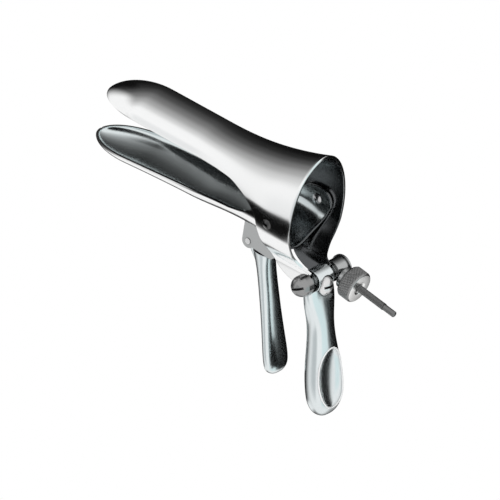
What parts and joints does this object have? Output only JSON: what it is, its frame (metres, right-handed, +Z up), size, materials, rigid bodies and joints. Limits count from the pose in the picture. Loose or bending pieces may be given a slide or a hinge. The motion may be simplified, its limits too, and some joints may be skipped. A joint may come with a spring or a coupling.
{
  "type": "bivalve speculum",
  "caption": "Polished bivalve speculum with an oval viewing collar, a hinged lower blade, a folding front lever, a rear handle with a thumb recess and a screw rod with a knurled nut.",
  "frame": {"origin": "middle of the hinge axis, between the two rivets, in the throat of the collar", "axes": "+X out of the viewing aperture towards the user, -X along the blades to their tips, +Y towards the screw rod's side, +Z up, away from the handles"},
  "size_m": [0.1646, 0.0392, 0.1208],
  "materials": {
    "blade_steel": "mirror polish",
    "handle_steel": "mirror polish",
    "hardware_steel": "polish, knurled edge on the nut"
  },
  "bodies": {
    "frame": {"upper_blade": "blade_steel", "rear_handle": "handle_steel", "handle_lock_screw": "hardware_steel", "hinge_rivet_far": "hardware_steel", "hinge_rivet_near": "hardware_steel"},
    "lower": {"lower_blade": "blade_steel", "lever_bracket": "handle_steel", "lever_hinge_pin": "hardware_steel", "rod_pivot_screw": "hardware_steel"},
    "lever": {"front_lever": "handle_steel"},
    "post": {"swivel_post": "hardware_steel", "post_retaining_screw": "hardware_steel"},
    "rod": {"threaded_rod": "hardware_steel"},
    "ring": {"thrust_collar": "hardware_steel"},
    "nut": {"knurled_nut": "hardware_steel"}
  },
  "joints": [
    {"name": "blade_hinge", "type": "hinge", "parent": "frame", "child": "lower", "pos_m": [0, 0, 0], "axis": [0, -1, 0], "range_deg": [-11, 12]},
    {"name": "lever_fold", "type": "hinge", "parent": "lower", "child": "lever", "pos_m": [-0.0187, 0, -0.0234], "axis": [0, 1, 0], "range_deg": [0, 112]},
    {"name": "post_swivel", "type": "hinge", "parent": "frame", "child": "post", "pos_m": [0.0184, 0, -0.0254], "axis": [0, -1, 0], "range_deg": [-3, 3]},
    {"name": "rod_slide", "type": "slide", "parent": "post", "child": "rod", "axis": [0.9882, 0, -0.1531], "range_m": [-0.0048, 0.0052]},
    {"name": "nut_travel", "type": "slide", "parent": "post", "child": "ring", "axis": [0.9882, 0, -0.1531], "range_m": [0, 0.012]},
    {"name": "nut_spin", "type": "hinge", "parent": "ring", "child": "nut", "pos_m": [0.03006, 0.0112, -0.02721], "axis": [0.9882, 0, -0.1531], "range_deg": [0, 2880]}
  ],
  "couplings": [
    {"joint": "post_swivel", "follows": "blade_hinge", "ratio": 0.23},
    {"joint": "rod_slide", "follows": "blade_hinge", "m_per_rad": 0.0224},
    {"joint": "nut_travel", "follows": "nut_spin", "m_per_rad": 0.00023873}
  ]
}
